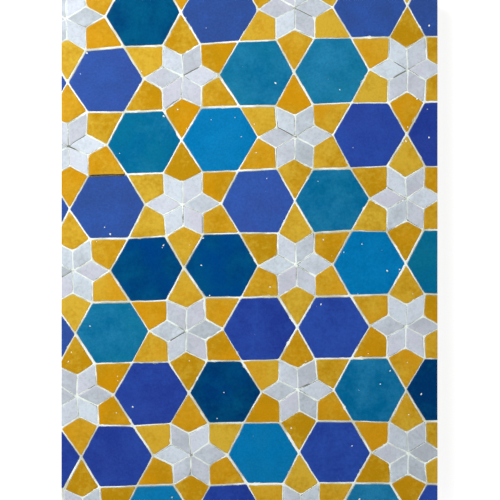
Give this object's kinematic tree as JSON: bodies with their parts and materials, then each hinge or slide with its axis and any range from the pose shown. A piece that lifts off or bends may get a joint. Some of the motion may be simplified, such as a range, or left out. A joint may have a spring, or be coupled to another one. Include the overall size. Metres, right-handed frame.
{
  "type": "pool tile mosaic panel",
  "caption": "Rectangular mosaic panel of glazed hexagons, kites and white rhombi set as six-pointed stars in a white cement bed, for lining a pool or wall.",
  "frame": {"origin": "middle of the panel's flat back", "axes": "+Z out of the glazed face, +Y along the panel's length, +X along its width; the panel lies face up"},
  "size_m": [0.3, 0.4, 0.0203],
  "materials": {
    "white_cement": "matte white cement, rubbed joints and a floated back",
    "azure_glaze": "glossy hand-dipped glaze on buff clay",
    "cobalt_glaze": "glossy hand-dipped glaze on buff clay",
    "petrol_glaze": "glossy hand-dipped glaze on buff clay",
    "teal_glaze": "glossy hand-dipped glaze on buff clay",
    "ultramarine_glaze": "glossy hand-dipped glaze on buff clay",
    "ochre_glaze": "glossy hand-dipped glaze on buff clay",
    "white_glaze": "satin white glaze on buff clay"
  },
  "bodies": {
    "root": {"mortar_bed": "white_cement", "azure_hexagons": "azure_glaze", "cobalt_hexagons": "cobalt_glaze", "petrol_hexagons": "petrol_glaze", "teal_hexagons": "teal_glaze", "ultramarine_hexagons": "ultramarine_glaze", "ochre_kites": "ochre_glaze", "white_rhombi": "white_glaze"}
  },
  "joints": []
}
